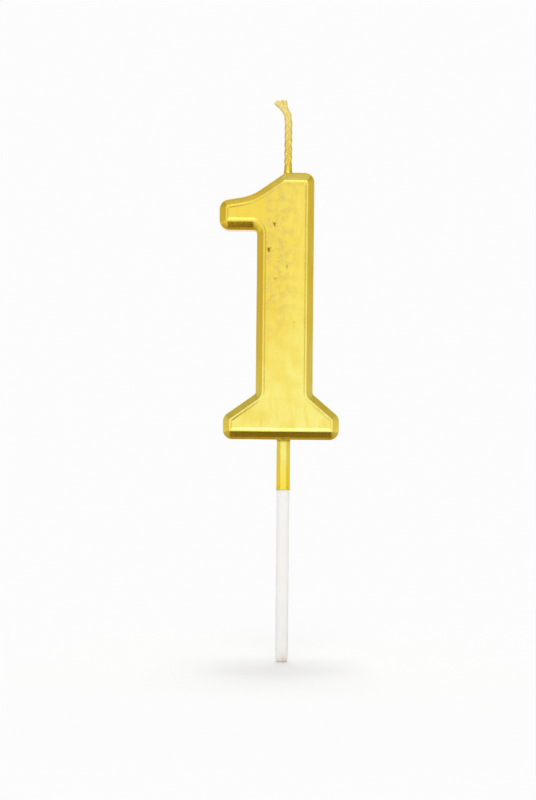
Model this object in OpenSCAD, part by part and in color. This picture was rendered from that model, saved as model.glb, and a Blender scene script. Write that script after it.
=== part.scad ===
// Number candle: a gold numeral one on a plastic stick.
// The stick's tip is the origin, +Z is up and the numeral faces -Y. Millimetres.

/* [Numeral] */
// Height of the numeral
numeral_h = 46.4; // [36:0.5:70]
// Thickness of the numeral, front to back
numeral_t = 8; // [6:0.25:12]
// Width of the upright stem
stem_w = 9.9; // [8:0.1:12]

/* [Foot] */
// Reach of the foot to the left of the stick
foot_left = 10.6; // [8:0.1:14]
// Reach of the foot to the right of the stick
foot_right = 9.6; // [8:0.1:14]
// Height of the upright ends of the foot
foot_end_h = 4; // [3.5:0.1:5]
// Height at which the slopes of the foot meet the stem
foot_rise = 8; // [7:0.1:12]

/* [Flag] */
// Reach of the flag to the left of the stick
flag_reach = 11.5; // [9.5:0.1:14]
// Depth of the flag's underside below the top of the numeral
flag_drop = 10; // [9:0.1:12]
// Height of the upright end of the flag
flag_end_h = 5; // [4:0.1:5.3]
// Reach of the knee in the flag's upper edge
knee_reach = 6; // [5.5:0.1:7.5]
// Height of that knee above the flag's underside
knee_h = 5.9; // [5.4:0.1:6.6]
// Radius of the bend at the knee
knee_r = 8; // [2:0.5:10]
// Reach to the left at which the top edge begins
crown_left = 0.1; // [-1:0.1:1]

/* [Edge moulding] */
// Radius of the outer corners of the outline
corner_r = 1.7; // [1.2:0.05:1.9]
// Radius left in the inner corners of the outline
valley_r = 0.7; // [0.3:0.1:2]
// Distance of the crest, which runs round the face, from the underside of the foot and of the flag
edge_w = 1.55; // [1.3:0.05:1.7]
// Distance of the crest from the top edge
top_edge_w = 1.75; // [1.3:0.05:2]
// Distance of the crest from the upright and sloping edges
side_edge_w = 1.25; // [1.1:0.05:1.4]
// Slope of the bevel outside the crest, in degrees, at the two undersides
bevel_a = 35; // [25:1:40]
// Radius of the crest
crest_r = 0.45; // [0.3:0.01:0.55]
// Radius of the shoulder where the bevel turns into the side wall
shoulder_r = 1.2; // [1:0.05:1.4]
// Depth of the front face below its crest
sink_h = 0.18; // [0.14:0.01:0.24]
// Slope from the crest down to the front face, in degrees, at the two undersides
sink_a = 25; // [20:1:30]
// Radius of the hollow at the foot of that slope
sink_r = 0.4; // [0.2:0.05:0.6]
// Least radius at the outer corners of the crest and the face
face_r = 0.1; // [0.05:0.05:0.3]

/* [Gold lacquer] */
// Thickness of the lacquer
coat_t = 0.1; // [0.05:0.01:0.2]
// Length of stick below the numeral that the lacquer covers
band_l = 8.8; // [2:0.1:20]
// Height to which the lacquer creeps up the wick
creep_h = 1.6; // [1:0.1:5]
// Width of the lacquer round the foot of the wick
creep_w = 0.3; // [0.2:0.05:0.6]

/* [Stick] */
// Length of stick below the numeral
stick_out = 38.8; // [25:0.1:90]
// Diameter of the stick
stick_d = 2.2; // [1.8:0.1:3.5]
// Length of stick cast into the wax
stick_in = 13; // [8:0.5:18]
// Radius of the rounded tip and of the edge of the upper end
stick_round = 0.4; // [0.2:0.05:0.6]

/* [Wick] */
// Distance of the wick to the right of the stick's axis
wick_x = 0.35; // [-1:0.05:1]
// Thickness of wax between the foot of the wick and the upper end of the stick
wick_gap = 4; // [1:0.5:15]
// Straight length of wick above the numeral
wick_out = 8.5; // [5:0.1:15]
// Radius of the bend at the end of the wick
wick_bend_r = 6.8; // [3:0.1:10]
// Angle through which the end of the wick bends to the left
wick_bend_a = 38; // [10:1:60]
// Width of the plaited wick
wick_w = 1.4; // [1:0.05:2]
// Clear space between two strands where they cross
strand_gap = 0.04; // [0.02:0.01:0.1]
// Length in which a strand goes across and back once, in spacings of the strands
lay_ratio = 9; // [9:0.5:14]
// Swing of the strands from front to back, in spacings of the strands
swing_ratio = 0.7; // [0.65:0.05:1]
// Spread of the strands at the cut end, as a multiple of their spread in the plait
splay_ratio = 2; // [1:0.1:2.5]

/* [Fits] */
// Space between the wax and what is cast into it, left as the wax shrinks
cast_gap = 0.02; // [0.01:0.01:0.1]

/* [Hidden] */
$fn = 64;

// Fineness of the rounded corners, in degrees, of the arcs of the edge moulding, and of the strands,
// and how late the strands spread
arc_step = 15;
crest_steps = 2;
hollow_steps = 2;
shoulder_steps = 4;
strand_sides = 6;
rings_per_lay = 10;
splay_power = 1.5;

// Count of strands in the plait, and how far a cut runs past the faces that it goes through
strands = 3;
cut_spare = 1;

numeral_top = stick_out + numeral_h;
flag_z = numeral_h - flag_drop;
stick_r = stick_d / 2;
stick_top = stick_out + stick_in;

// Outer corners of the numeral, anticlockwise from the left end of the foot
outline = [
    [-foot_left, 0],
    [foot_right, 0],
    [foot_right, foot_end_h],
    [stem_w / 2, foot_rise],
    [stem_w / 2, numeral_h],
    [-crown_left, numeral_h],
    [-knee_reach, flag_z + knee_h],
    [-flag_reach, flag_z + flag_end_h],
    [-flag_reach, flag_z],
    [-stem_w / 2, flag_z],
    [-stem_w / 2, foot_rise],
    [-foot_left, foot_end_h],
];
corners = len(outline);
knee = 6;

// Distance of the crest from the edge that leaves each corner
crest_in = [
    edge_w, side_edge_w, side_edge_w, side_edge_w, top_edge_w, side_edge_w,
    side_edge_w, side_edge_w, edge_w, side_edge_w, side_edge_w, side_edge_w,
];

// Direction and outward normal of the edge that leaves corner i
function next(i) = (i + 1) % corners;
function prev(i) = (i + corners - 1) % corners;
function along(i) = let (step = outline[next(i)] - outline[i]) step / norm(step);
function outward(i) = [along(i).y, -along(i).x];

// Turn of the outline at corner i, below zero at an inner corner
function turn(i) = let (a = along(prev(i)), b = along(i)) atan2(cross(a, b), a * b);

// Point that lies a distance d outside the edge that ends at corner i, and e outside the one that leaves it
function mitre(i, d, e) =
    let (a = outward(prev(i)), b = outward(i), c = a * b)
    outline[i] + ((d - c * e) * a + (e - c * d) * b) / (1 - c * c);

// Draw-in of edge i where the two undersides are drawn in by d, at a depth t under the lacquer
function draw(i, d, t) = t + (d - t) * crest_in[i] / edge_w;

// Points round corner i of the outline drawn in so: outer corners lose radius and inner ones gain it
function corner_arc(i, d, t) =
    let (
        outer = turn(i) > 0,
        inner_r = i == knee ? knee_r : valley_r,
        spoke = outer ? max(corner_r - d, face_r) : -inner_r - d,
        centre = mitre(i, -draw(prev(i), d, t) - spoke, -draw(i, d, t) - spoke),
        from = outward(prev(i)),
        steps = ceil(abs(turn(i)) / arc_step)
    )
    [for (k = [0 : steps])
        let (a = turn(i) * k / steps)
        centre + spoke * [from.x * cos(a) - from.y * sin(a), from.x * sin(a) + from.y * cos(a)]];

function drawn_in(d, t) = [for (i = [0 : corners - 1]) each corner_arc(i, d, t)];

// The moulding at a depth t under the lacquer, as [draw-in of the undersides, height above the middle]:
// from the sunk front face out of the hollow and up to the crest, then over the crest, down the straight
// bevel and round the shoulder to the side wall; the back has the same edge round a face that isn't sunk
slope_h = sink_h - (crest_r + sink_r) * (1 - cos(sink_a));
face_in = edge_w + (crest_r + sink_r) * sin(sink_a) + slope_h / tan(sink_a);
hollow = [face_in, numeral_t / 2 - sink_h + sink_r];
bevel_w = edge_w - crest_r * sin(bevel_a) - shoulder_r * (1 - sin(bevel_a));
crest = [edge_w, numeral_t / 2 - crest_r];
shoulder = crest + (crest_r - shoulder_r) * [-sin(bevel_a), cos(bevel_a)] - bevel_w * [1, tan(bevel_a)];
function swing(centre, r, a) = centre + r * [-sin(a), cos(a)];
function rise(t) = concat(
    [for (k = [0 : hollow_steps]) swing(hollow, -sink_r - t, -sink_a * k / hollow_steps)],
    [for (k = [crest_steps : -1 : 1]) swing(crest, crest_r - t, -sink_a * k / crest_steps)]
);
function edge(t) = concat(
    [for (k = [0 : crest_steps]) swing(crest, crest_r - t, bevel_a * k / crest_steps)],
    [for (k = [0 : shoulder_steps])
        swing(shoulder, shoulder_r - t, bevel_a + (90 - bevel_a) * k / shoulder_steps)]
);
function moulding(t) =
    let (front = edge(t), n = len(front))
    concat(rise(t), front, [for (k = [n - 1 : -1 : 0]) [front[k].x, -front[k].y]]);

// Points inside the flat face: near the two ends of the foot, in its middle, in the head and near
// the end of the flag; and the one of them to which each corner of the face belongs
function face_corner(i) = mitre(i, -draw(prev(i), face_in, 0), -draw(i, face_in, 0));
function end_point(i) = (face_corner(i) + face_corner(next(i))) / 2 - edge_w * outward(i);
function level_point(i, j) = [0, (face_corner(i).y + face_corner(j).y) / 2];
face_points = [end_point(11), end_point(1), level_point(3, 10), level_point(6, 9), end_point(7)];
owner = [0, 1, 1, 2, 3, 3, 3, 4, 4, 3, 2, 0];
ring_owner = [for (i = [0 : corners - 1]) each [for (p = corner_arc(i, 0, 0)) owner[i]]];
ring_n = len(ring_owner);

// Triangles of a flat face between its rim, which starts at point number rim, and its inner points
function face_triangles(rim, inner) = concat(
    [for (j = [0 : ring_n - 1])
        let (k = (j + 1) % ring_n, own_j = inner + ring_owner[j], own_k = inner + ring_owner[k])
        each own_j == own_k
            ? [[rim + k, rim + j, own_k]]
            : [[rim + k, rim + j, own_k], [rim + j, own_j, own_k]]],
    [[inner + 1, inner, inner + 2]]
);
function flipped(triangles) = [for (f = triangles) [f[0], f[2], f[1]]];

// The numeral at a depth t under the lacquer: its outline, drawn in as the moulding says, from front to back
module numeral(t) {
    stations = moulding(t);
    rings = len(stations);
    front_y = numeral_t / 2 - sink_h - t;
    back_y = numeral_t / 2 - t;
    walls = [for (i = [0 : rings - 2], j = [0 : ring_n - 1])
        let (a = i * ring_n + j, b = i * ring_n + (j + 1) % ring_n)
        each [[a, b, a + ring_n], [b, b + ring_n, a + ring_n]]];
    points = concat(
        [for (s = stations) each [for (p = drawn_in(s.x, t)) [p.x, -s.y, p.y]]],
        [for (p = face_points) [p.x, -front_y, p.y]],
        [for (p = face_points) [p.x, back_y, p.y]]
    );
    front_inner = rings * ring_n;
    front = face_triangles(0, front_inner);
    back = flipped(face_triangles((rings - 1) * ring_n, front_inner + len(face_points)));
    translate([0, 0, stick_out]) polyhedron(points, concat(walls, front, back));
}

// The plait: each strand swings across by plait_x and, twice as often, front to back by plait_y
crossing = (wick_w + strand_gap) / strands;
strand_r = (crossing - strand_gap) / 2;
plait_x = crossing;
plait_y = swing_ratio * crossing;
plait_pitch = lay_ratio * crossing;

wick_foot = stick_top + wick_gap;
wick_straight = numeral_top + wick_out - wick_foot;
wick_l = wick_straight + wick_bend_r * wick_bend_a * PI / 180;
wick_r = wick_w / 2 + cast_gap;

strand_rings = ceil(rings_per_lay * wick_l / plait_pitch);

// Middle of the wick at a distance s from its foot, and the way it leans there
function bend_at(s) = max(0, s - wick_straight) / wick_bend_r * 180 / PI;
function wick_mid(s) =
    let (a = bend_at(s))
    [wick_x - wick_bend_r * (1 - cos(a)), 0, wick_foot + min(s, wick_straight) + wick_bend_r * sin(a)];

// The strands spread along the bend, where the plait comes loose
function spread(s) = 1 + (splay_ratio - 1) * pow(bend_at(s) / wick_bend_a, splay_power);

// Middle of strand k at a distance s from the wick's foot
function strand_mid(k, s) =
    let (phase = 360 * ((wick_l - s) / plait_pitch + k / strands))
    wick_mid(s) + spread(s) * [plait_x * sin(phase), plait_y * sin(2 * phase), 0];

// Ring of points round strand k, square to it; the rings at its two ends are cut level
function strand_ring(k, s, probe = 0.01) =
    let (
        is_end = s == 0 || s == wick_l,
        chord = strand_mid(k, s + probe) - strand_mid(k, s - probe),
        dir = is_end ? [0, 0, 1] : chord / norm(chord),
        side = cross([0, 1, 0], dir) / norm(cross([0, 1, 0], dir)),
        front = cross(dir, side)
    )
    [for (j = [0 : strand_sides - 1])
        let (a = 360 * j / strand_sides)
        strand_mid(k, s) + strand_r * (cos(a) * side + sin(a) * front)];

module wick_strand(k) {
    n = strand_sides;
    points = [for (i = [0 : strand_rings]) each strand_ring(k, wick_l * i / strand_rings)];
    walls = [for (i = [0 : strand_rings - 1], j = [0 : n - 1])
        let (a = i * n + j, b = i * n + (j + 1) % n)
        each [[a, a + n, b], [b, a + n, b + n]]];
    last = strand_rings * n;
    foot_cap = [for (j = [1 : n - 2]) [0, j, j + 1]];
    tip_cap = [for (j = [1 : n - 2]) [last, last + j + 1, last + j]];
    color("goldenrod") polyhedron(points, concat(walls, foot_cap, tip_cap));
}

// Hollow that the wick leaves in the wax and in the lacquer over it
module wick_hole() {
    translate([wick_x, 0, wick_foot - cast_gap]) cylinder(h = wick_straight, r = wick_r);
}

module stick_hole() {
    cylinder(h = stick_top + cast_gap, r = stick_r + cast_gap);
}

// Cast wax of the numeral
module wax_body() {
    color("ivory") difference() {
        numeral(coat_t);
        wick_hole();
        stick_hole();
    }
}

// Lacquer drawn up round the foot of the wick, thinning out upwards in a hollow curve
module lacquer_creep() {
    curve_r = (creep_h * creep_h + creep_w * creep_w) / (2 * creep_w);
    inside = wick_r - coat_t;
    translate([wick_x, 0, numeral_top]) rotate_extrude()
        difference() {
            translate([inside, -edge_w]) square([wick_r + creep_w - inside, edge_w + creep_h]);
            translate([wick_r + coat_t / 2 + curve_r, creep_h]) circle(curve_r, $fn = 256);
        }
}

// Lacquer over the numeral
module gold_coat() {
    color("gold") difference() {
        union() {
            numeral(0);
            lacquer_creep();
        }
        numeral(coat_t);
        wick_hole();
        stick_hole();
    }
}

// Quarter of a disc, for the rounded edge at an end of the stick
module quarter_disc(r) {
    intersection() {
        circle(r);
        square(2 * r);
    }
}

// Half outline of the stick, with both ends rounded
module stick_profile() {
    inner = stick_r - stick_round;
    square([inner, stick_top]);
    translate([0, stick_round]) square([stick_r, stick_top - 2 * stick_round]);
    translate([inner, stick_top - stick_round]) quarter_disc(stick_round);
    translate([inner, stick_round]) mirror([0, 1]) quarter_disc(stick_round);
}

// White plastic stick, from its tip to the end inside the wax
module stick() {
    color("white") rotate_extrude() stick_profile();
}

// Lacquer on the stick under the numeral
module stick_band() {
    color("gold") translate([0, 0, stick_out - band_l]) difference() {
        cylinder(h = band_l, r = stick_r + coat_t);
        translate([0, 0, -cut_spare]) cylinder(h = band_l + 2 * cut_spare, r = stick_r);
    }
}

// Three cotton strands, plaited into the wick
module wick_strand_1() { wick_strand(0); }
module wick_strand_2() { wick_strand(1); }
module wick_strand_3() { wick_strand(2); }

wax_body();
gold_coat();
stick();
stick_band();
wick_strand_1();
wick_strand_2();
wick_strand_3();
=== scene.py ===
"""Looks of a gold number candle: the lacquered wax numeral, its plaited wick, and its white stick."""

import math

import bmesh
import bpy
from mathutils import Matrix, Vector, geometry, noise

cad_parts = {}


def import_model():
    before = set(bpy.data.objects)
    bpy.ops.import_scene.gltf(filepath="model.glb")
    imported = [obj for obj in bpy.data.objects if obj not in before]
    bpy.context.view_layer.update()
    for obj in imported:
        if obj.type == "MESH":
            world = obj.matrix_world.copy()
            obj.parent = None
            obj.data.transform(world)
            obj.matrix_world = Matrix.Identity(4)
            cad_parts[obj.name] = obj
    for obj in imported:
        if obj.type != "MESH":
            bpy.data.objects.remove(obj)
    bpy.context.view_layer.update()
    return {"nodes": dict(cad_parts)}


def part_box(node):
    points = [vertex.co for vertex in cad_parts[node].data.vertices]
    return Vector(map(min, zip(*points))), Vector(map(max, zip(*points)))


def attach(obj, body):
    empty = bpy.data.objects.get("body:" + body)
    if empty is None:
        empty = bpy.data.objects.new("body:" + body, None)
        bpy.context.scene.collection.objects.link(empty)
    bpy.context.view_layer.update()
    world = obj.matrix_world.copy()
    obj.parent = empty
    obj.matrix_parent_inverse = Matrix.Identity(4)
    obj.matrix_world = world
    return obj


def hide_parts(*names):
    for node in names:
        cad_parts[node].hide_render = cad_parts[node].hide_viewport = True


MM = 0.001

# Numeral: outline, edge moulding and the shallow sink of its front face; FACE_R is the least radius of a
# corner that is drawn in
NUMERAL_H = 46.4 * MM
NUMERAL_T = 8 * MM
STEM_W = 9.9 * MM
FOOT_LEFT = 10.6 * MM
FOOT_RIGHT = 9.6 * MM
FOOT_END_H = 4 * MM
FOOT_RISE = 8 * MM
FLAG_REACH = 11.5 * MM
FLAG_DROP = 10 * MM
FLAG_END_H = 5 * MM
KNEE_REACH = 6 * MM
KNEE_H = 5.9 * MM
KNEE_R = 8 * MM
CROWN_LEFT = 0.1 * MM
CORNER_R = 1.7 * MM
VALLEY_R = 0.7 * MM
EDGE_W = 1.55 * MM
TOP_EDGE_W = 1.75 * MM
SIDE_EDGE_W = 1.25 * MM
BEVEL = math.radians(35)
CREST_R = 0.45 * MM
SHOULDER_R = 1.2 * MM
SINK_H = 0.18 * MM
SINK = math.radians(25)
SINK_R = 0.4 * MM
FACE_R = 0.1 * MM

# Fineness of the numeral's mesh
ARC_STEP = math.radians(8)
STRAIGHT_STEP = 0.55 * MM
CREST_STEPS = 4
HOLLOW_STEPS = 3
BEVEL_STEPS = 2
SHOULDER_STEPS = 9
WALL_STEPS = 4
FACE_STEP = 0.5 * MM

# Filling a face with triangles: only inside its rim, and joining points this close, in millimetres
FILL_INSIDE = 1
FILL_NEAR = 1e-5

# How rubbed the lacquer is at the face's rim and on top of the crest; on the slope between them it is 1
RUB_FACE = 0.4
RUB_CREST = 0.3

# Casting waves in the numeral's surface: height and length
LONG_WAVE = (0.03 * MM, 6 * MM)
SHORT_WAVE = (0.008 * MM, 1.5 * MM)

# Pits in the lacquer of the front face: x, height above the numeral's base, radius and depth
PITS = [
    (-1.93 * MM, 37.4 * MM, 0.27 * MM, 0.05 * MM),
    (-1.88 * MM, 37.05 * MM, 0.22 * MM, 0.04 * MM),
    (-2.25 * MM, 37.6 * MM, 0.13 * MM, 0.03 * MM),
    (-1.13 * MM, 36.3 * MM, 0.15 * MM, 0.02 * MM),
    (-2.9 * MM, 33.0 * MM, 0.34 * MM, 0.07 * MM),
    (-2.86 * MM, 32.65 * MM, 0.24 * MM, 0.05 * MM),
    (-2.55 * MM, 33.25 * MM, 0.17 * MM, 0.03 * MM),
    (0.3 * MM, 30.1 * MM, 0.2 * MM, 0.03 * MM),
    (0.28 * MM, 29.8 * MM, 0.18 * MM, 0.025 * MM),
    (-1.85 * MM, 27.9 * MM, 0.2 * MM, 0.03 * MM),
    (-1.55 * MM, 27.93 * MM, 0.18 * MM, 0.025 * MM),
    (-0.9 * MM, 25.6 * MM, 0.13 * MM, 0.02 * MM),
    (1.7 * MM, 20.4 * MM, 0.12 * MM, 0.02 * MM),
]

# Stain in the pits: the depth from which it is full, its share of brown there, and how it fades outwards
PIT_FULL = 0.05 * MM
PIT_STAIN = 0.9
STAIN_GAIN = 1.5
STAIN_LOSS = 0.3

# Points round a pit: rings, in radii of the pit, and the count of points in each
PIT_RINGS = (0.4, 0.8, 1.2, 1.7)
PIT_SIDES = 10

# Wick: the strands of the plait, swollen by wax and lacquer, the wax between them, and the loose cut end,
# where the strands fan out
WICK_X = 0.35 * MM
WICK_STRAIGHT_TO = 8.9 * MM
WICK_BEND_R = 4.6 * MM
WICK_BEND = math.radians(28)
FAN_RUN = 1.0 * MM
END_RUN = 0.7 * MM
STRAND_R = 0.33 * MM
TUFT_R = 0.45 * MM
PLAIT_X = 0.37 * MM
PLAIT_Y = 0.26 * MM
PLAIT_PITCH = 4.32 * MM
PLAIT_EASE = 0.8 * MM
CORE_X = 0.62 * MM
CORE_Y = 0.45 * MM
CORE_FLARE = 1.5
CORE_SHORT = 0.3 * MM

# The strands one by one: the angle that each fans out through, and how far it runs past the wick's length
STRAND_FAN = (0.0, math.radians(-17), math.radians(16))
STRAND_OVER = (0.2 * MM, 0.0, 0.6 * MM)
STRANDS = len(STRAND_FAN)

# Fineness of the wick's mesh, how it is smoothed, and the lumps in its surface: height and length
STRAND_SIDES = 16
STRAND_RING_STEP = 0.14 * MM
TANGENT_STEP = 0.01 * MM
WICK_VOXEL = 0.05 * MM
WICK_SMOOTHING = 0.5
WICK_SMOOTH_ROUNDS = 5
WICK_LUMPS = (0.03 * MM, 0.35 * MM)

# Lacquer round the foot of the wick: a hollow curve that follows the crown's slope, and its waves
COLLAR_H = 1.6 * MM
COLLAR_W = 0.3 * MM
COLLAR_CURVE = 3
COLLAR_LOW = 0.15 * MM
COLLAR_SUNK = 0.5 * MM
COLLAR_IN_WICK = 0.02 * MM
COLLAR_STEPS = 12
COLLAR_WAVE = (0.06 * MM, 0.7 * MM)
CROWN_SLOPE = (FLAG_DROP - KNEE_H) / (KNEE_REACH - CROWN_LEFT)

# Lacquer on the stick: a sleeve with a lip at its lower edge and a fillet under the numeral
BAND_T = 0.1 * MM
BAND_IN_NUMERAL = 0.2 * MM
BAND_STEPS = 14
BAND_LIP = 0.04 * MM
LIP_H = 0.3 * MM
LIP_ROUND = 0.1 * MM
LIP_STEPS = 4
BAND_FILLET = 0.15 * MM
FILLET_STEPS = 6
LATHE_SIDES = 56

# Unevenness of that sleeve: its waves, and its lower edge, by height, reach, rate round the stick and start
BAND_WAVE = (0.02 * MM, 1.6 * MM)
BAND_EDGE_WAVE = 0.1 * MM
BAND_EDGE_REACH = 1.5 * MM
BAND_EDGE_RATE = 1.3
BAND_EDGE_START = Vector((3.1, 0, 0))

# Photograph: its frame in pixels, its scale at the candle, where the stick's tip stands in it, and the slope
# that the candle leans at; then the camera's distance in metres and the width of its sensor in millimetres
PHOTO_W = 536
PHOTO_H = 800
PX_PER_M = 5778
TIP_PX = (281.5, 664)
LEAN = 0.0095
CAMERA_BACK = 0.45
SENSOR = 36.0

# The frame, and the places that its solids give
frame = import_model()
nodes = frame["nodes"]
BASE_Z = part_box("stick_band")[1].z
TOP_Z = BASE_Z + NUMERAL_H
STICK_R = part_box("stick")[1].x
BAND_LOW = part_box("stick_band")[0].z
WICK_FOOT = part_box("wick_strand_1")[0].z


def smooth_step(value):
    """0 below 0, 1 above 1, and an even curve between."""
    t = min(max(value, 0.0), 1.0)
    return t * t * (3 - 2 * t)


def wave(size, point):
    """Height at a point of waves of a size, which is their height and their length."""
    height, length = size
    return height * noise.noise(point / length)


def piece_from(bm, name, material):
    """Turns a bmesh into a smooth-shaded piece of the candle."""
    bmesh.ops.recalc_face_normals(bm, faces=bm.faces)
    mesh = bpy.data.meshes.new(name)
    bm.to_mesh(mesh)
    bm.free()
    mesh.polygons.foreach_set("use_smooth", [True] * len(mesh.polygons))
    mesh.materials.append(material)
    obj = bpy.data.objects.new(name, mesh)
    bpy.context.scene.collection.objects.link(obj)
    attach(obj, "root")
    return obj


# Materials

# Places of the colour sockets of a mix node: its two inputs and its result
MIX_FIRST = 6
MIX_SECOND = 7
MIX_RESULT = 2


class Graph:
    """Short forms for building one procedural material."""

    def __init__(self, name):
        self.material = bpy.data.materials.new(name)
        self.material.use_nodes = True
        self.tree = self.material.node_tree
        self.shader = self.tree.nodes["Principled BSDF"]
        coords = self.tree.nodes.new("ShaderNodeTexCoord")
        self.place = coords.outputs["Object"]

    def link(self, source, target):
        """Joins the output of one node to the input of another."""
        self.tree.links.new(source, target)

    def node(self, kind, **settings):
        """A new node with those settings."""
        made = self.tree.nodes.new(kind)
        for key, value in settings.items():
            setattr(made, key, value)
        return made

    def noise(self, size, detail, stretch=(1, 1, 1), roughness=0.5):
        """Noise with lumps of that size in metres; stretch lengthens them along X, Y or Z."""
        mapping = self.node("ShaderNodeMapping")
        mapping.inputs["Scale"].default_value = [1 / (size * s) for s in stretch]
        self.link(self.place, mapping.inputs["Vector"])
        texture = self.node("ShaderNodeTexNoise")
        texture.inputs["Scale"].default_value = 1.0
        texture.inputs["Detail"].default_value = detail
        texture.inputs["Roughness"].default_value = roughness
        self.link(mapping.outputs["Vector"], texture.inputs["Vector"])
        return texture.outputs["Fac"]

    def attribute(self, name):
        """A value that the mesh carries at its vertices."""
        return self.node("ShaderNodeAttribute", attribute_name=name).outputs["Fac"]

    def along(self, axis, start, end):
        """0 at start and 1 at end along the axis X, Y or Z."""
        split = self.node("ShaderNodeSeparateXYZ")
        self.link(self.place, split.inputs["Vector"])
        return self.range(split.outputs[axis], start, end, 0.0, 1.0)

    def height(self, low, high):
        """0 at height low, 1 at height high."""
        return self.along("Z", low, high)

    def above_base(self, low, high):
        """0 and 1 at two heights above the numeral's base."""
        return self.height(BASE_Z + low, BASE_Z + high)

    def range(self, value, low, high, to_low, to_high):
        """A value between low and high, made to run from to_low to to_high and no further."""
        made = self.node("ShaderNodeMapRange")
        made.inputs["From Min"].default_value = low
        made.inputs["From Max"].default_value = high
        made.inputs["To Min"].default_value = to_low
        made.inputs["To Max"].default_value = to_high
        self.link(value, made.inputs["Value"])
        return made.outputs["Result"]

    def math(self, operation, a, b):
        """Result of an operation on two values, of which each may be a number."""
        made = self.node("ShaderNodeMath", operation=operation)
        for socket, value in zip(made.inputs, (a, b)):
            if isinstance(value, (int, float)):
                socket.default_value = value
            else:
                self.link(value, socket)
        return made.outputs["Value"]

    def plus(self, a, b):
        """Sum of two values."""
        return self.math("ADD", a, b)

    def times(self, first, *others):
        """Product of two values or more."""
        product = first
        for other in others:
            product = self.math("MULTIPLY", product, other)
        return product

    def mix(self, factor, first, second):
        """Colour first where factor is 0 and second where it is 1."""
        made = self.node("ShaderNodeMix", data_type="RGBA")
        self.link(factor, made.inputs["Factor"])
        for place, value in ((MIX_FIRST, first), (MIX_SECOND, second)):
            if isinstance(value, tuple):
                made.inputs[place].default_value = (*value, 1.0)
            else:
                self.link(value, made.inputs[place])
        return made.outputs[MIX_RESULT]

    def bump(self, height, distance, under=None):
        """Bump of that distance in metres where the height is 1, over an earlier bump if there is one."""
        made = self.node("ShaderNodeBump")
        made.inputs["Distance"].default_value = distance
        self.link(height, made.inputs["Height"])
        if under is not None:
            self.link(under, made.inputs["Normal"])
        return made.outputs["Normal"]

    def color(self, source):
        """Gives the surface its colour."""
        self.link(source, self.shader.inputs["Base Color"])

    def roughness(self, source):
        """Gives the surface its roughness."""
        self.link(source, self.shader.inputs["Roughness"])

    def normal(self, source):
        """Gives the surface its bumps."""
        self.link(source, self.shader.inputs["Normal"])


# Tones of the lacquer
GOLD_HEAD = (0.985, 0.80, 0.135)
# GOLD_FOOT_SHEEN is a painted sheen: the lacquer paler and whiter towards the numeral's foot and on the band
GOLD_FOOT_SHEEN = (1.0, 0.91, 0.25)
GOLD_DEEP = (0.93, 0.68, 0.06)
GOLD_DULL = (0.77, 0.58, 0.15)
GOLD_BAND = (1.0, 0.78, 0.06)
# GOLD_UNDER_SHADE is painted shade: the band darker just under the numeral, which shades it
GOLD_UNDER_SHADE = (0.55, 0.4, 0.04)
PIT_BROWN = (0.17, 0.105, 0.012)
RUBBED_TAN = (0.86, 0.66, 0.17)

# Sizes of the marks in the lacquer
CLOUD_SIZE = 3.2 * MM
GRAIN_SIZE = 0.35 * MM
PATCH_SIZE = 9 * MM
STREAK_SIZE = 0.9 * MM
STREAK_STRETCH = (1, 1, 5)
DULL_SIZE = 1.3 * MM
SPECK_SIZE = 0.45 * MM
WORN_SIZE = 5 * MM

# How the marks show: from and to which level of their noise, and the tone or roughness that they give there
CLOUD_DEEP = (0.45, 0.7, 0.0, 0.45)
PATCH_DEEP = (0.5, 0.75, 0.0, 0.35)
STREAK_DEEP = (0.48, 0.7, 0.0, 0.42)
DULL_SHARE = (0.44, 0.62, 0.0, 0.75)
SPECK_SHARE = (0.42, 0.6, 0.0, 1.0)
WORN_SHARE = (0.42, 0.6, 0.1, 1.0)
CLOUD_ROUGH = (0.3, 0.7, 0.17, 0.27)
GRAIN_ROUGH = (0.3, 0.7, -0.03, 0.05)

# Where tones come in, from none to full: heights above the numeral's base, and places on X; BAND_TONE_H is
# the height above the band's lower edge over which the band's tone fades out
# FOOT_SHEEN_Z places the painted sheen that makes the lacquer paler towards the foot
FOOT_SHEEN_Z = (28 * MM, 6 * MM)
LEFT_TONE_Z = (10 * MM, 22 * MM)
LEFT_TONE_X = (2 * MM, -3 * MM)
DULL_Z = (14 * MM, 26 * MM)
DULL_FROM_LEFT = (-3.8 * MM, -3 * MM)
DULL_FROM_RIGHT = (3.4 * MM, -0.5 * MM)
# These two place the painted shade on the band just under the numeral
UNDER_SHADE_FROM_LOW = (-0.55 * MM, -0.2 * MM)
UNDER_SHADE_FROM_TOP = (-0.05 * MM, -0.1 * MM)
WORN_Z = (8 * MM, 11 * MM)
BAND_TONE_H = 6 * MM

# The rest of the lacquer's looks: how much deeper its tone is to the left, the roughness that wear adds, the
# heights of its bumps, and its clear coat
LEFT_DEEP = 0.55
WORN_ROUGH = 0.15
CLOUD_BUMP = 0.028 * MM
GRAIN_BUMP = 0.004 * MM
COAT = 0.25
COAT_ROUGH = 0.12


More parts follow.
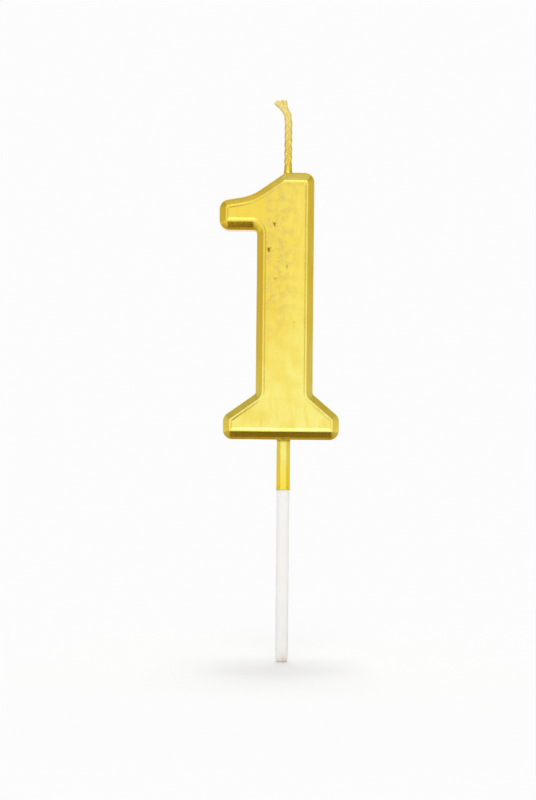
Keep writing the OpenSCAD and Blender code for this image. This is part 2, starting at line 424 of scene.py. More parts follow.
def gold_lacquer():
    """Satin gold lacquer: cloudy, finely grained, brown in its pits and rubbed along the face's rim, with a
    painted sheen that makes it paler towards the foot and a painted shade just under the numeral.
    """
    g = Graph("gold_lacquer")
    clouds = g.noise(CLOUD_SIZE, detail=4)
    grain = g.noise(GRAIN_SIZE, detail=2)
    patches = g.noise(PATCH_SIZE, detail=2)
    streaks = g.noise(STREAK_SIZE, detail=3, stretch=STREAK_STRETCH)
    # Painted sheen: the lacquer paler and whiter towards the foot
    tone = g.mix(g.above_base(*FOOT_SHEEN_Z), GOLD_HEAD, GOLD_FOOT_SHEEN)
    leftwards = g.times(g.along("X", *LEFT_TONE_X), g.above_base(*LEFT_TONE_Z), LEFT_DEEP)
    tone = g.mix(leftwards, tone, GOLD_DEEP)
    for marks, deep in ((clouds, CLOUD_DEEP), (patches, PATCH_DEEP), (streaks, STREAK_DEEP)):
        tone = g.mix(g.range(marks, *deep), tone, GOLD_DEEP)
    dull = g.range(g.noise(DULL_SIZE, detail=4, roughness=0.6), *DULL_SHARE)
    dull = g.times(dull, g.above_base(*DULL_Z))
    dull = g.times(dull, g.along("X", *DULL_FROM_LEFT), g.along("X", *DULL_FROM_RIGHT))
    tone = g.mix(dull, tone, GOLD_DULL)
    tone = g.mix(g.height(BAND_LOW + BAND_TONE_H, BAND_LOW), tone, GOLD_BAND)
    # Painted shade on the band just under the numeral
    under_shade = g.times(g.above_base(*UNDER_SHADE_FROM_LOW), g.above_base(*UNDER_SHADE_FROM_TOP))
    tone = g.mix(under_shade, tone, GOLD_UNDER_SHADE)
    specks = g.range(g.noise(SPECK_SIZE, detail=2), *SPECK_SHARE)
    worn = g.range(g.noise(WORN_SIZE, detail=2), *WORN_SHARE)
    worn = g.times(worn, g.above_base(*WORN_Z), g.attribute("rub"))
    tone = g.mix(g.times(worn, specks), tone, RUBBED_TAN)
    tone = g.mix(g.attribute("pit"), tone, PIT_BROWN)
    g.color(tone)
    satin = g.plus(g.range(clouds, *CLOUD_ROUGH), g.range(grain, *GRAIN_ROUGH))
    g.roughness(g.plus(satin, g.times(worn, WORN_ROUGH)))
    waves = g.bump(clouds, CLOUD_BUMP)
    g.normal(g.bump(grain, GRAIN_BUMP, under=waves))
    g.shader.inputs["Metallic"].default_value = 1.0
    g.shader.inputs["Coat Weight"].default_value = COAT
    g.shader.inputs["Coat Roughness"].default_value = COAT_ROUGH
    return g.material


# Tones of the wick
WICK_GOLD = (0.90, 0.68, 0.10)
WICK_PALE = (0.95, 0.80, 0.31)
WICK_SHADE = (0.62, 0.46, 0.09)

# Marks on the wick, and the heights above the numeral between which it dries out
FIBRE_SIZE = 0.12 * MM
FIBRE_STRETCH = (1, 1, 7)
FIBRE_SHADE = (0.5, 0.7, 0.0, 0.35)
FIBRE_ROUGH = (0.3, 0.7, -0.04, 0.08)
FIBRE_BUMP = 0.04 * MM
BLOTCH_SIZE = 1.1 * MM
BLOTCH_SHADE = (0.5, 0.75, 0.0, 0.45)
DRY_FROM = 2 * MM
DRY_TO = 12 * MM
DRY_ROUGH = (0.0, 1.0, 0.32, 0.5)
DRY_METAL = (0.0, 1.0, 0.85, 0.45)


def waxed_wick():
    """Cotton stiff with wax and lacquer: fibres along it, paler and drier towards the cut end."""
    g = Graph("waxed_wick")
    fibres = g.noise(FIBRE_SIZE, detail=3, stretch=FIBRE_STRETCH)
    blotches = g.noise(BLOTCH_SIZE, detail=3)
    dry = g.height(TOP_Z + DRY_FROM, TOP_Z + DRY_TO)
    tone = g.mix(dry, WICK_GOLD, WICK_PALE)
    tone = g.mix(g.range(fibres, *FIBRE_SHADE), tone, WICK_SHADE)
    tone = g.mix(g.range(blotches, *BLOTCH_SHADE), tone, WICK_SHADE)
    g.color(tone)
    g.roughness(g.plus(g.range(dry, *DRY_ROUGH), g.range(fibres, *FIBRE_ROUGH)))
    g.link(g.range(dry, *DRY_METAL), g.shader.inputs["Metallic"])
    g.normal(g.bump(fibres, FIBRE_BUMP))
    return g.material


# Tones of the stick
STICK_WHITE = (0.94, 0.925, 0.905)
STICK_WARM = (0.92, 0.89, 0.84)
# TIP_REFLECTION_TAN is a painted reflection of the gold numeral in the stick's rounded tip
TIP_REFLECTION_TAN = (0.62, 0.50, 0.36)

# Marks on the stick, the heights between which the painted reflection of the gold at its tip comes in, and
# how deep light goes into the plastic
LINE_SIZE = 0.25 * MM
LINE_STRETCH = (1, 1, 30)
LINE_ROUGH = (0.3, 0.7, 0.26, 0.42)
LINE_BUMP = 0.012 * MM
WARM_SIZE = 4 * MM
WARM_SHARE = (0.4, 0.7, 0.0, 0.6)
TIP_REFLECTION_SIZE = 1.7 * MM
TIP_REFLECTION_SHARE = (0.3, 0.7, 0.05, 0.6)
TIP_REFLECTION_Z = (2.8 * MM, 0.2 * MM)
STICK_MILKY = 0.35
STICK_MILKY_RGB = (1.0, 0.9, 0.8)
STICK_MILKY_DEPTH = 0.8 * MM


def stick_plastic():
    """Milky white plastic: faint lines along the drawn stick, and a tan patch at its tip that is a painted
    reflection of the gold.
    """
    g = Graph("stick_plastic")
    lines = g.noise(LINE_SIZE, detail=2, stretch=LINE_STRETCH)
    clouds = g.noise(WARM_SIZE, detail=2)
    tone = g.mix(g.range(clouds, *WARM_SHARE), STICK_WHITE, STICK_WARM)
    # Painted reflection of the gold in the stick's tip
    tip_reflection = g.range(g.noise(TIP_REFLECTION_SIZE, detail=2), *TIP_REFLECTION_SHARE)
    tone = g.mix(g.times(tip_reflection, g.height(*TIP_REFLECTION_Z)), tone, TIP_REFLECTION_TAN)
    g.color(tone)
    g.roughness(g.range(lines, *LINE_ROUGH))
    g.normal(g.bump(lines, LINE_BUMP))
    g.shader.inputs["Subsurface Weight"].default_value = STICK_MILKY
    g.shader.inputs["Subsurface Radius"].default_value = STICK_MILKY_RGB
    g.shader.inputs["Subsurface Scale"].default_value = STICK_MILKY_DEPTH
    return g.material


# Tones of the wax
WAX_IVORY = (0.82, 0.74, 0.52)
WAX_PALE = (0.88, 0.82, 0.64)

# Clouds in the wax, and how deep light goes into it
WAX_CLOUD_SIZE = 3 * MM
WAX_PALE_SHARE = (0.35, 0.65, 0.0, 1.0)
WAX_ROUGH = (0.3, 0.7, 0.4, 0.55)
WAX_BUMP = 0.03 * MM
WAX_MILKY = 0.5
WAX_MILKY_DEPTH = 1.2 * MM


def cast_wax():
    """Ivory wax under the lacquer: soft, cloudy and a little waxy in its gloss."""
    g = Graph("cast_wax")
    clouds = g.noise(WAX_CLOUD_SIZE, detail=4)
    g.color(g.mix(g.range(clouds, *WAX_PALE_SHARE), WAX_IVORY, WAX_PALE))
    g.roughness(g.range(clouds, *WAX_ROUGH))
    g.normal(g.bump(clouds, WAX_BUMP))
    g.shader.inputs["Subsurface Weight"].default_value = WAX_MILKY
    g.shader.inputs["Subsurface Scale"].default_value = WAX_MILKY_DEPTH
    return g.material


# The numeral's lacquer skin


def outline():
    """Outer corners of the numeral, anticlockwise from the left end of the foot."""
    flag_z = NUMERAL_H - FLAG_DROP
    half = STEM_W / 2
    corners = [
        (-FOOT_LEFT, 0),
        (FOOT_RIGHT, 0),
        (FOOT_RIGHT, FOOT_END_H),
        (half, FOOT_RISE),
        (half, NUMERAL_H),
        (-CROWN_LEFT, NUMERAL_H),
        (-KNEE_REACH, flag_z + KNEE_H),
        (-FLAG_REACH, flag_z + FLAG_END_H),
        (-FLAG_REACH, flag_z),
        (-half, flag_z),
        (-half, FOOT_RISE),
        (-FOOT_LEFT, FOOT_END_H),
    ]
    return [Vector(c) for c in corners]


# Corners of the outline by number: the knee, and those that the undersides and the top start from
CORNERS = outline()
KNEE = 6
FOOT_UNDERSIDE = 0
TOP = 4
FLAG_UNDERSIDE = 8

# How far the crest lies from the edge that leaves each corner, the height of the slope inside the crest, and
# how far in the flat face starts
CREST_IN = [SIDE_EDGE_W] * len(CORNERS)
CREST_IN[FOOT_UNDERSIDE] = EDGE_W
CREST_IN[TOP] = TOP_EDGE_W
CREST_IN[FLAG_UNDERSIDE] = EDGE_W
SLOPE_H = SINK_H - (CREST_R + SINK_R) * (1 - math.cos(SINK))
FACE_IN = EDGE_W + (CREST_R + SINK_R) * math.sin(SINK) + SLOPE_H / math.tan(SINK)


def outward(i):
    """Unit vector square to the edge that starts at corner i, pointing out of the numeral."""
    along = (CORNERS[(i + 1) % len(CORNERS)] - CORNERS[i]).normalized()
    return Vector((along.y, -along.x))


def mitre(i, out, out_next):
    """Corner i of the outline moved out from the edge that ends there, and from the one that leaves it."""
    a = outward(i - 1)
    b = outward(i)
    c = a.dot(b)
    return CORNERS[i] + ((out - c * out_next) * a + (out_next - c * out) * b) / (1 - c * c)


def draw_in(i, draw):
    """Draw-in of the edge that leaves corner i, where the undersides are drawn in by a distance."""
    return draw * CREST_IN[i] / EDGE_W


def corner_arc(i, draw):
    """Rounded corner i of the outline drawn in by a distance."""
    a = outward(i - 1)
    b = outward(i)
    turn = math.atan2(a.x * b.y - a.y * b.x, a.dot(b))
    if turn > 0:
        spoke = max(CORNER_R - draw, FACE_R)
    else:
        spoke = -draw - (KNEE_R if i == KNEE else VALLEY_R)
    centre = mitre(i, -draw_in(i - 1, draw) - spoke, -draw_in(i, draw) - spoke)
    steps = math.ceil(abs(turn) / ARC_STEP)
    return [centre + spoke * (Matrix.Rotation(turn * k / steps, 2) @ a) for k in range(steps + 1)]


def straight_counts():
    """How many steps each straight stretch of the outline is cut into."""
    arcs = [corner_arc(i, 0) for i in range(len(CORNERS))]
    ends = [(arcs[i][-1], arcs[(i + 1) % len(arcs)][0]) for i in range(len(arcs))]
    return [max(1, math.ceil((b - a).length / STRAIGHT_STEP)) for a, b in ends]


STRAIGHTS = straight_counts()


def ring(draw):
    """The numeral's outline drawn in by a distance, with the same count of points for any distance."""
    arcs = [corner_arc(i, draw) for i in range(len(CORNERS))]
    points = []
    for i, arc in enumerate(arcs):
        points += arc
        start = arc[-1]
        end = arcs[(i + 1) % len(arcs)][0]
        points += [start.lerp(end, k / STRAIGHTS[i]) for k in range(1, STRAIGHTS[i])]
    return points


def swing(centre, radius, angle):
    """Point on an arc of the moulding, at an angle from straight up towards the outline."""
    return centre + radius * Vector((-math.sin(angle), math.cos(angle)))


def rise():
    """Stations from the sunk front face out of the hollow and up to the crest.

    A station is a draw-in from the outline, a height above the middle, and how rubbed the lacquer is.
    """
    hollow = Vector((FACE_IN, NUMERAL_T / 2 - SINK_H + SINK_R))
    crest = Vector((EDGE_W, NUMERAL_T / 2 - CREST_R))
    stations = []
    for k in range(HOLLOW_STEPS + 1):
        share = k / HOLLOW_STEPS
        rub = RUB_FACE + (1 - RUB_FACE) * share
        stations.append((*swing(hollow, -SINK_R, -SINK * share), rub))
    for k in range(CREST_STEPS, 0, -1):
        share = k / CREST_STEPS
        rub = RUB_CREST + (1 - RUB_CREST) * share
        stations.append((*swing(crest, CREST_R, -SINK * share), rub))
    return stations


def edge():
    """Stations over the crest, down the bevel and round the shoulder to the middle of the side wall."""
    crest = Vector((EDGE_W, NUMERAL_T / 2 - CREST_R))
    tilt = Vector((-math.sin(BEVEL), math.cos(BEVEL)))
    bevel_w = EDGE_W - CREST_R * math.sin(BEVEL) - SHOULDER_R * (1 - math.sin(BEVEL))
    shoulder = crest + (CREST_R - SHOULDER_R) * tilt - bevel_w * Vector((1, math.tan(BEVEL)))
    stations = []
    for k in range(CREST_STEPS + 1):
        share = k / CREST_STEPS
        stations.append((*swing(crest, CREST_R, BEVEL * share), RUB_CREST * (1 - share)))
    bevel_from = crest + CREST_R * tilt
    bevel_to = shoulder + SHOULDER_R * tilt
    for k in range(1, BEVEL_STEPS):
        stations.append((*bevel_from.lerp(bevel_to, k / BEVEL_STEPS), 0.0))
    for k in range(SHOULDER_STEPS + 1):
        a = BEVEL + (math.pi / 2 - BEVEL) * k / SHOULDER_STEPS
        stations.append((*swing(shoulder, SHOULDER_R, a), 0.0))
    for k in range(1, WALL_STEPS + 1):
        stations.append((0.0, shoulder.y * (1 - k / WALL_STEPS), 0.0))
    return stations


def inside(point, loop):
    """Whether a point lies inside a closed loop of points."""
    found = False
    for a, b in zip(loop, loop[1:] + loop[:1]):
        if (a.y > point.y) != (b.y > point.y):
            crossing = a.x + (point.y - a.y) / (b.y - a.y) * (b.x - a.x)
            found ^= point.x < crossing
    return found


def face_points(loop, pits):
    """Points spread over the flat of a face inside its rim loop, closer together round the pits."""
    low_x = min(p.x for p in loop)
    high_x = max(p.x for p in loop)
    low_z = min(p.y for p in loop)
    high_z = max(p.y for p in loop)
    points = []
    for x, z, radius, _ in pits:
        points.append(Vector((x, z)))
        for share in PIT_RINGS:
            for k in range(PIT_SIDES):
                a = 2 * math.pi * (k + share) / PIT_SIDES
                points.append(Vector((x, z)) + share * radius * Vector((math.cos(a), math.sin(a))))
    clear = FACE_STEP / 2
    pit_clear = PIT_RINGS[-1]
    for row in range(1, math.ceil((high_z - low_z) / FACE_STEP)):
        for column in range(1, math.ceil((high_x - low_x) / FACE_STEP)):
            point = Vector((low_x + column * FACE_STEP, low_z + row * FACE_STEP))
            near_pit = any((point - Vector((x, z))).length < pit_clear * r + clear for x, z, r, _ in pits)
            if near_pit or not inside(point, loop):
                continue
            if min((point - p).length_squared for p in loop) > clear * clear:
                points.append(point)
    return points


def fill_face(bm, rim, loop, y, pits):
    """Closes the front or back face between its rim's vertices, with even triangles."""
    points = loop + face_points(loop, pits)
    scaled = [p / MM for p in points]
    made = geometry.delaunay_2d_cdt(scaled, [], [list(range(len(loop)))], FILL_INSIDE, FILL_NEAR)
    verts, _, faces, sources = made[:4]
    used = []
    for place, source in zip(verts, sources):
        first = min(source)
        if first < len(loop):
            used.append(rim[first])
        else:
            used.append(bm.verts.new((place.x * MM, y, BASE_Z + place.y * MM)))
    for face in faces:
        bm.faces.new([used[k] for k in face])


def pit_depths(point):
    """How deep the pits go at a point of the front face, and how brown they leave it."""
    depth = 0.0
    brown = 0.0
    for x, z, radius, deep in PITS:
        away = Vector((point.x - x, point.z - BASE_Z - z)).length / radius
        share = math.exp(-away * away)
        depth += deep * share
        stain = PIT_STAIN * min(1.0, deep / PIT_FULL)
        brown = max(brown, stain * smooth_step(STAIN_GAIN * share - STAIN_LOSS))
    return depth, brown


def lacquer_skin(material):
    """The lacquered surface of the numeral: a loft of the outline along the edge moulding."""
    front = rise() + edge()
    # The back has the same edge from the wall to the crest, without the middle of the wall, which both share
    back = edge()[-2::-1]
    stations = [(d, -h, rub) for d, h, rub in front] + [(d, h, rub) for d, h, rub in back]
    bm = bmesh.new()
    rub_layer = bm.verts.layers.float.new("rub")
    pit_layer = bm.verts.layers.float.new("pit")
    rings = []
    for draw, y, rub in stations:
        verts = [bm.verts.new((p.x, y, BASE_Z + p.y)) for p in ring(draw)]
        for vert in verts:
            vert[rub_layer] = rub
        rings.append(verts)
    for lower, upper in zip(rings, rings[1:]):
        count = len(lower)
        for j in range(count):
            k = (j + 1) % count
            bm.faces.new((lower[j], lower[k], upper[k], upper[j]))
    fill_face(bm, rings[0], ring(stations[0][0]), stations[0][1], PITS)
    fill_face(bm, rings[-1], ring(stations[-1][0]), stations[-1][1], [])
    bmesh.ops.recalc_face_normals(bm, faces=bm.faces)
    bm.normal_update()
    moves = []
    for vert in bm.verts:
        shift = vert.normal * (wave(LONG_WAVE, vert.co) + wave(SHORT_WAVE, vert.co))
        if vert.co.y < -NUMERAL_T / 4:
            depth, vert[pit_layer] = pit_depths(vert.co)
            shift.y += depth
        moves.append(shift)
    for vert, shift in zip(bm.verts, moves):
        vert.co += shift
    skin = piece_from(bm, "lacquer_skin", material)
    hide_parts("gold_coat")


# Turned pieces: the lacquer round the wick's foot and on the stick


def lathe(bm, profile, axis_x, closed):
    """Turns a profile of (radius, height) about an upright axis; closed joins its two ends.

    A profile that isn't closed starts and ends with discs.
    """
    rings = []
    for radius, z in profile:
        verts = []
        for k in range(LATHE_SIDES):
            a = 2 * math.pi * k / LATHE_SIDES
            verts.append(bm.verts.new((axis_x + radius * math.cos(a), radius * math.sin(a), z)))
        rings.append(verts)
    pairs = list(zip(rings, rings[1:]))
    if closed:
        pairs.append((rings[-1], rings[0]))
    else:
        bm.faces.new(rings[0])
        bm.faces.new(rings[-1])
    for lower, upper in pairs:
        for j in range(LATHE_SIDES):
            k = (j + 1) % LATHE_SIDES
            bm.faces.new((lower[j], lower[k], upper[k], upper[j]))


def wick_collar(material):
    """Lacquer drawn up round the foot of the wick, thinning out upwards in a hollow curve."""
    bm = bmesh.new()
    wick_r = PLAIT_X + STRAND_R
    profile = [(wick_r + COLLAR_W, TOP_Z - COLLAR_SUNK)]
    for k in range(COLLAR_STEPS + 1):
        share = k / COLLAR_STEPS
        radius = wick_r - COLLAR_IN_WICK + COLLAR_W * (1 - share) ** COLLAR_CURVE
        profile.append((radius, TOP_Z - COLLAR_LOW + COLLAR_H * share))
    lathe(bm, profile, WICK_X, closed=False)
    for vert in bm.verts:
        foot = 1 - smooth_step((vert.co.z - TOP_Z) / COLLAR_H)
        vert.co.z -= foot * CROWN_SLOPE * max(0.0, -CROWN_LEFT - vert.co.x)
        if vert.co.z > TOP_Z:
            out = Vector((vert.co.x - WICK_X, vert.co.y, 0)).normalized()
            vert.co += out * wave(COLLAR_WAVE, vert.co)
    collar = piece_from(bm, "wick_collar", material)


def stick_band(material):
    """Lacquer on the stick: a thin sleeve with a soft, uneven lower edge and a fillet under the numeral."""
    bm = bmesh.new()
    outer = STICK_R + BAND_T
    top = BASE_Z + BAND_IN_NUMERAL
    profile = [(STICK_R, top)]
    for k in range(LIP_STEPS + 1):
        a = math.pi / 2 * k / LIP_STEPS
        radius = STICK_R + (BAND_T + BAND_LIP) * math.sin(a)
        profile.append((radius, BAND_LOW + LIP_ROUND * (1 - math.cos(a))))
    profile.append((outer + BAND_LIP / 2, BAND_LOW + LIP_H))
    even_from = BAND_LOW + 2 * LIP_H
    even_h = BASE_Z - BAND_FILLET - even_from
    for k in range(BAND_STEPS + 1):
        profile.append((outer, even_from + even_h * k / BAND_STEPS))
    for k in range(1, FILLET_STEPS + 1):
        a = math.pi / 2 * k / FILLET_STEPS
        radius = outer + BAND_FILLET * (1 - math.cos(a))
        profile.append((radius, BASE_Z - BAND_FILLET * (1 - math.sin(a))))
    profile.append((outer + BAND_FILLET, top))
    lathe(bm, profile, 0.0, closed=True)
    for vert in bm.verts:
        low = 1 - smooth_step((vert.co.z - BAND_LOW) / BAND_EDGE_REACH)
        around = Vector((vert.co.x, vert.co.y, 0)).normalized()
        vert.co.z += low * BAND_EDGE_WAVE * noise.noise(around * BAND_EDGE_RATE + BAND_EDGE_START)
        if vert.co.xy.length > STICK_R + BAND_T / 2:
            vert.co += around * wave(BAND_WAVE, vert.co)
    band = piece_from(bm, "lacquer_band", material)
    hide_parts("stick_band")


# The wick

# Distances from the wick's foot: where it starts to bend, where its strands part, and where they end
WICK_STRAIGHT = TOP_Z + WICK_STRAIGHT_TO - WICK_FOOT
LOOSE_FROM = WICK_STRAIGHT + WICK_BEND_R * WICK_BEND
WICK_LENGTH = LOOSE_FROM + FAN_RUN + END_RUN


def wick_place(s, fan=0.0):
    """Middle of the wick at a distance s from its foot, and the angle that it has bent through to the left.

    Where the strands part, the line bends on through the angle fan.
    """
    stretches = [
        (WICK_STRAIGHT, 0.0),
        (LOOSE_FROM - WICK_STRAIGHT, WICK_BEND),
        (FAN_RUN, fan),
        (math.inf, 0.0),
    ]
    place = Vector((WICK_X, 0, WICK_FOOT))
    turn = 0.0
    left = s
    for length, bend in stretches:
        step = min(left, length)
        half = bend * step / length / 2
        chord = step * math.sin(half) / half if half else step
        place += chord * Vector((-math.sin(turn + half), 0, math.cos(turn + half)))
        turn += 2 * half
        left -= step
    return place, turn


def wick_mid(s):
    """Middle of the wick at a distance s from its foot."""
    return wick_place(s)[0]


def looseness(s):
    """0 where the wick is plaited, and 1 at its loose end."""
    return smooth_step((s - LOOSE_FROM) / (WICK_LENGTH - LOOSE_FROM))


def strand_mid(k, s):
    """Middle of strand k at a distance s from the wick's foot.

    Past the plait the strand keeps its side and fans out.
    """
    to_end = LOOSE_FROM - s
    plaited = (to_end + math.hypot(to_end, PLAIT_EASE)) / 2
    phase = 2 * math.pi * (plaited / PLAIT_PITCH + k / STRANDS)
    middle, turn = wick_place(s, STRAND_FAN[k])
    side = Vector((math.cos(turn), 0, math.sin(turn)))
    front = Vector((0, 1, 0))
    return middle + PLAIT_X * math.sin(phase) * side + PLAIT_Y * math.sin(2 * phase) * front


def strand_radii(s):
    """Radii of a strand at a distance s from the wick's foot: it swells into a tuft at its end."""
    radius = STRAND_R + (TUFT_R - STRAND_R) * looseness(s)
    return radius, radius


def core_radii(s):
    """Radii of the wax between the strands at a distance s from the wick's foot."""
    return CORE_X * (1 + (CORE_FLARE - 1) * looseness(s)), CORE_Y


def tube(bm, mid, radii, length):
    """A closed tube in millimetres along a middle line.

    The functions mid and radii give its middle, and its radii across and front to back, at a distance
    from the wick's foot.
    """
    count = math.ceil(length / STRAND_RING_STEP)
    rings = []
    for i in range(count + 1):
        s = length * i / count
        along = (mid(s + TANGENT_STEP) - mid(s - TANGENT_STEP)).normalized()
        side = Vector((0, 1, 0)).cross(along).normalized()
        front = along.cross(side)
        across, deep = radii(s)
        verts = []
        for j in range(STRAND_SIDES):
            a = 2 * math.pi * j / STRAND_SIDES
            point = mid(s) + across * math.cos(a) * side + deep * math.sin(a) * front
            verts.append(bm.verts.new(point / MM))
        rings.append(verts)
    bm.faces.new(rings[0])
    bm.faces.new(rings[-1])
    for lower, upper in zip(rings, rings[1:]):
        for j in range(STRAND_SIDES):
            m = (j + 1) % STRAND_SIDES
            bm.faces.new((lower[j], lower[m], upper[m], upper[j]))


def fused(bm):
    """Runs the solids of a bmesh, in millimetres, into one skin, and smooths it."""
    bmesh.ops.recalc_face_normals(bm, faces=bm.faces)
    mesh = bpy.data.meshes.new("fuse")
    bm.to_mesh(mesh)
    bm.free()
    obj = bpy.data.objects.new("fuse", mesh)
    bpy.context.scene.collection.objects.link(obj)
    remesh = obj.modifiers.new("fuse", "REMESH")
    remesh.mode = "VOXEL"
    remesh.voxel_size = WICK_VOXEL / MM
    soften = obj.modifiers.new("soften", "SMOOTH")
    soften.factor = WICK_SMOOTHING
    soften.iterations = WICK_SMOOTH_ROUNDS
    graph = bpy.context.evaluated_depsgraph_get()
    made = bmesh.new()
    made.from_mesh(obj.evaluated_get(graph).to_mesh())
    bpy.data.objects.remove(obj)
    bpy.data.meshes.remove(mesh)
    return made


def plaited_wick(material):
    """Three strands plaited, stuck together with lacquer, and loose at the cut end."""
    bm = bmesh.new()
    for k in range(STRANDS):
        tube(bm, lambda s: strand_mid(k, s), strand_radii, WICK_LENGTH + STRAND_OVER[k])
    tube(bm, wick_mid, core_radii, WICK_LENGTH - CORE_SHORT)
    bm = fused(bm)
    bmesh.ops.scale(bm, vec=(MM, MM, MM), verts=bm.verts)
    bm.normal_update()
    for vert in bm.verts:
        vert.co += vert.normal * wave(WICK_LUMPS, vert.co)
    wick = piece_from(bm, "plaited_wick", material)
    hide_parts("wick_strand_1", "wick_strand_2", "wick_strand_3")


def dress_candle():
    """Gives every piece of the candle its form and its material."""
    gold = gold_lacquer()
    lacquer_skin(gold)
    wick_collar(gold)
    stick_band(gold)
    plaited_wick(waxed_wick())
    for name, material in (("stick", stick_plastic()), ("wax_body", cast_wax())):
        mesh = nodes[name].data
        mesh.materials.clear()
        mesh.materials.append(material)


# Studio

# Floor and surroundings: the floor's glow comes in between two distances from the stick's tip
FLOOR_HALF = 40.0
FLOOR_WHITE = (0.955, 0.955, 0.955)
BACKGROUND = (0.975, 0.975, 0.975)
WORLD_FILL = 0.69
GLOW_FROM = 0.03
GLOW_TO = 0.14


def add_light_path(tree):
    """1 for what the camera sees straight, in a reflection or through glass, and 0 for other light."""
    path = tree.nodes.new("ShaderNodeLightPath")
    total = path.outputs["Is Camera Ray"]
    for name in ("Is Glossy Ray", "Is Transmission Ray"):
        join = tree.nodes.new("ShaderNodeMath")
        join.operation = "MAXIMUM"
        tree.links.new(total, join.inputs[0])
        tree.links.new(path.outputs[name], join.inputs[1])
        total = join.outputs["Value"]
    return total


def plane(name, material, corners):
    """A flat sheet of the studio, through four corners."""
    mesh = bpy.data.meshes.new(name)
    mesh.from_pydata(corners, [], [(0, 1, 2, 3)])
    mesh.materials.append(material)
    sheet = bpy.data.objects.new(name, mesh)
    bpy.context.scene.collection.objects.link(sheet)
    return sheet


def floor():
    """Plain white floor that keeps the candle's shadow, and runs into the white surroundings far away."""
    material = bpy.data.materials.new("floor")
    material.use_nodes = True
    tree = material.node_tree
    diffuse = tree.nodes.new("ShaderNodeBsdfDiffuse")
    diffuse.inputs["Color"].default_value = (*FLOOR_WHITE, 1)
    glow = tree.nodes.new("ShaderNodeEmission")
    glow.inputs["Color"].default_value = (*BACKGROUND, 1)
    place = tree.nodes.new("ShaderNodeNewGeometry")
    away = tree.nodes.new("ShaderNodeVectorMath")
    away.operation = "LENGTH"
    tree.links.new(place.outputs["Position"], away.inputs[0])
    fade = tree.nodes.new("ShaderNodeMapRange")
    fade.inputs["From Min"].default_value = GLOW_FROM
    fade.inputs["From Max"].default_value = GLOW_TO
    tree.links.new(away.outputs["Value"], fade.inputs["Value"])
    share = tree.nodes.new("ShaderNodeMath")
    share.operation = "MULTIPLY"
    tree.links.new(add_light_path(tree), share.inputs[0])
    tree.links.new(fade.outputs["Result"], share.inputs[1])
    blend = tree.nodes.new("ShaderNodeMixShader")
    factor, near, far = blend.inputs
    tree.links.new(share.outputs["Value"], factor)
    tree.links.new(diffuse.outputs["BSDF"], near)
    tree.links.new(glow.outputs["Emission"], far)
    tree.links.new(blend.outputs["Shader"], tree.nodes["Material Output"].inputs["Surface"])
    half = FLOOR_HALF
    plane("floor", material, [(-half, -half, 0), (half, -half, 0), (half, half, 0), (-half, half, 0)])


def world():
    """White surroundings that give soft light from all sides."""
    made = bpy.data.worlds.new("studio")
    bpy.context.scene.world = made
    made.use_nodes = True
    tree = made.node_tree
    background = tree.nodes["Background"]
    background.inputs["Color"].default_value = (*BACKGROUND, 1)
    level = tree.nodes.new("ShaderNodeMapRange")
    level.inputs["To Min"].default_value = WORLD_FILL
    level.inputs["To Max"].default_value = 1.0
    tree.links.new(add_light_path(tree), level.inputs["Value"])
    tree.links.new(level.outputs["Result"], background.inputs["Strength"])


def card(name, axis, stops, corners):
    """A toned sheet that glows only in the gloss: a painted reflection that the gold's edges take their
    tones from.

    Its tone runs along the axis X, Y or Z through the stops, each a place on that axis and a colour.
    """
    material = bpy.data.materials.new(name)
    material.use_nodes = True
    tree = material.node_tree
    place = tree.nodes.new("ShaderNodeNewGeometry")
    split = tree.nodes.new("ShaderNodeSeparateXYZ")
    tree.links.new(place.outputs["Position"], split.inputs["Vector"])
    low = stops[0][0]
    high = stops[-1][0]
    share = tree.nodes.new("ShaderNodeMapRange")
    share.inputs["From Min"].default_value = low
    share.inputs["From Max"].default_value = high
    tree.links.new(split.outputs[axis], share.inputs["Value"])
    ramp = tree.nodes.new("ShaderNodeValToRGB")
    marks = ramp.color_ramp.elements
    while len(marks) < len(stops):
        marks.new(1.0)
    for mark, (at, color) in zip(marks, stops):
        mark.position = (at - low) / (high - low)
        mark.color = (*color, 1)
    tree.links.new(share.outputs["Result"], ramp.inputs["Fac"])
    tone = tree.nodes.new("ShaderNodeEmission")
    tree.links.new(ramp.outputs["Color"], tone.inputs["Color"])
    tree.links.new(tone.outputs["Emission"], tree.nodes["Material Output"].inputs["Surface"])
    sheet = plane(name, material, corners)
    sheet.visible_camera = False
    sheet.visible_diffuse = False
    sheet.visible_shadow = False
    sheet.visible_transmission = False
    sheet.visible_volume_scatter = False


# Cards: where they stand to the sides, above and below, and how far they reach to the front and the back
CARD_SIDE = 0.16
CARD_TOP = 0.32
CARD_LOW = -0.05
CARD_BACK = 0.32
SIDE_FRONT = -0.134
TOP_FRONT = -0.12
LOW_CARD_HALF = 0.02
LOW_CARD_Z = 0.002
LOW_FRONT = -0.066
WING_FRONT = -0.033

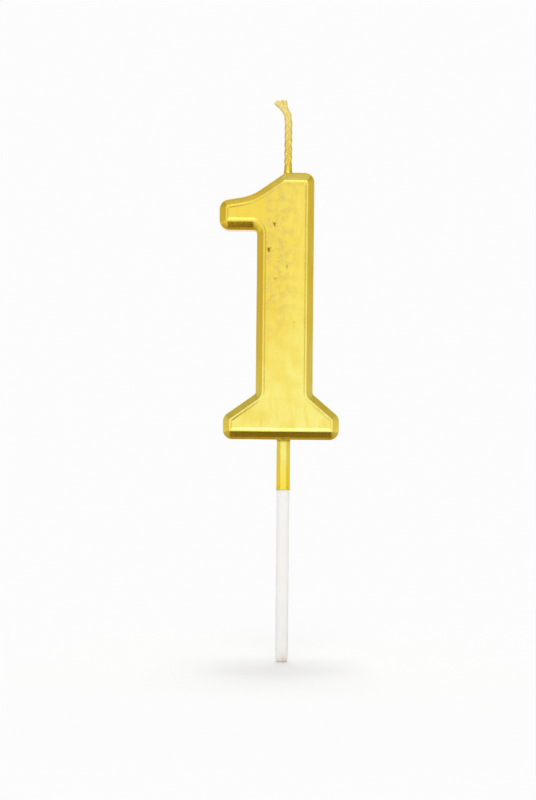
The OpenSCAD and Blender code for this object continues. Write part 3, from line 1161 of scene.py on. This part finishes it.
# Tones of the cards, which the gold shows as painted reflections: up the side cards, back along the top card
# and the low card, and out along the wings
SIDE_STOPS = [
    (0.03, (0.82, 0.72, 0.3)),
    (0.037, (0.74, 0.59, 0.36)),
    (0.05, (0.63, 0.56, 0.37)),
    (0.11, (0.62, 0.55, 0.35)),
    (0.22, (0.48, 0.40, 0.19)),
    (0.27, (0.48, 0.40, 0.19)),
    (CARD_TOP, (0.60, 0.60, 0.5)),
]
TOP_STOPS = [
    (-0.11, (0.56, 0.55, 0.76)),
    (-0.075, (0.58, 0.57, 0.76)),
    (-0.04, (0.76, 0.74, 0.84)),
    (-0.015, (0.72, 0.66, 0.5)),
    (0.02, (0.62, 0.54, 0.34)),
]
LOW_STOPS = [
    (LOW_FRONT, (0.62, 0.5, 0.2)),
    (-0.043, (0.15, 0.1, 0.012)),
    (-0.03, (0.13, 0.085, 0.01)),
    (-0.02, (0.2, 0.135, 0.02)),
    (-0.012, (0.2, 0.135, 0.02)),
    (-0.006, (0.4, 0.27, 0.06)),
    (0.0, (0.42, 0.29, 0.08)),
]
WING_STOPS = [
    (LOW_CARD_HALF, (0.44, 0.34, 0.14)),
    (0.04, (0.52, 0.42, 0.2)),
    (CARD_SIDE, (0.60, 0.52, 0.3)),
]


def level_card(name, axis, stops, left, right, front, z):
    """A card that lies level, from its front to the back of all the cards."""
    corners = [(left, front, z), (right, front, z), (right, CARD_BACK, z), (left, CARD_BACK, z)]
    card(name, axis, stops, corners)


def cards():
    """Cards to the left, right, above and below, seen only in the gloss: painted reflections that draw the
    darker edges of the gold.
    """
    for name, x in (("card_left", -CARD_SIDE), ("card_right", CARD_SIDE)):
        low_edge = [(x, SIDE_FRONT, CARD_LOW), (x, CARD_BACK, CARD_LOW)]
        high_edge = [(x, CARD_BACK, CARD_TOP), (x, SIDE_FRONT, CARD_TOP)]
        card(name, "Z", SIDE_STOPS, low_edge + high_edge)
    mirrored = [(-at, color) for at, color in reversed(WING_STOPS)]
    level_card("card_top", "Y", TOP_STOPS, -CARD_SIDE, CARD_SIDE, TOP_FRONT, CARD_TOP)
    level_card("card_low", "Y", LOW_STOPS, -LOW_CARD_HALF, LOW_CARD_HALF, LOW_FRONT, LOW_CARD_Z)
    level_card("card_wing_left", "X", mirrored, -CARD_SIDE, -LOW_CARD_HALF, WING_FRONT, LOW_CARD_Z)
    level_card("card_wing_right", "X", WING_STOPS, LOW_CARD_HALF, CARD_SIDE, WING_FRONT, LOW_CARD_Z)


# Softboxes: name, place, width, height, radiance, and whether the gold shows them
SOFTBOXES = [
    ("soft_top", (0.0, -0.46, 0.507), 0.2, 0.22, 1.7, True),
    ("soft_over", (0.0, 0.1, 0.5), 0.12, 0.3, 7.1, False),
    ("soft_front", (0.0, -0.7, 0.15), 0.4, 0.4, 1.8, False),
]


def softboxes():
    """Area lamps that face the middle of the numeral."""
    aim = Vector((0, 0, (BASE_Z + TOP_Z) / 2))
    for name, place, width, height, radiance, in_gloss in SOFTBOXES:
        lamp = bpy.data.lights.new(name, "AREA")
        lamp.shape = "RECTANGLE"
        lamp.size = width
        lamp.size_y = height
        lamp.energy = radiance * math.pi * width * height
        box = bpy.data.objects.new(name, lamp)
        box.location = place
        box.rotation_mode = "QUATERNION"
        box.rotation_quaternion = (Vector(place) - aim).to_track_quat("Z", "Y")
        box.visible_camera = False
        box.visible_glossy = in_gloss
        bpy.context.scene.collection.objects.link(box)


def camera():
    """The photograph's view: level, in front, rolled a little so that the candle leans as it does there."""
    # How far the picture's middle lies to the right of the stick's tip and below it, in pixels
    right = PHOTO_W / 2 - TIP_PX[0]
    down = PHOTO_H / 2 - TIP_PX[1]
    x = (right + LEAN * down) / PX_PER_M
    z = (LEAN * right - down) / PX_PER_M
    data = bpy.data.cameras.new("camera")
    data.sensor_width = SENSOR
    data.lens = SENSOR * CAMERA_BACK * PX_PER_M / PHOTO_H
    made = bpy.data.objects.new("camera", data)
    level = Matrix.Rotation(math.pi / 2, 4, "X")
    roll = Matrix.Rotation(math.atan(LEAN), 4, "Z")
    front = -NUMERAL_T / 2
    made.matrix_world = Matrix.Translation((x, front - CAMERA_BACK, z)) @ level @ roll
    bpy.context.scene.collection.objects.link(made)
    bpy.context.scene.camera = made


dress_candle()
floor()
world()
cards()
softboxes()
camera()
bpy.context.scene.view_settings.view_transform = "Standard"
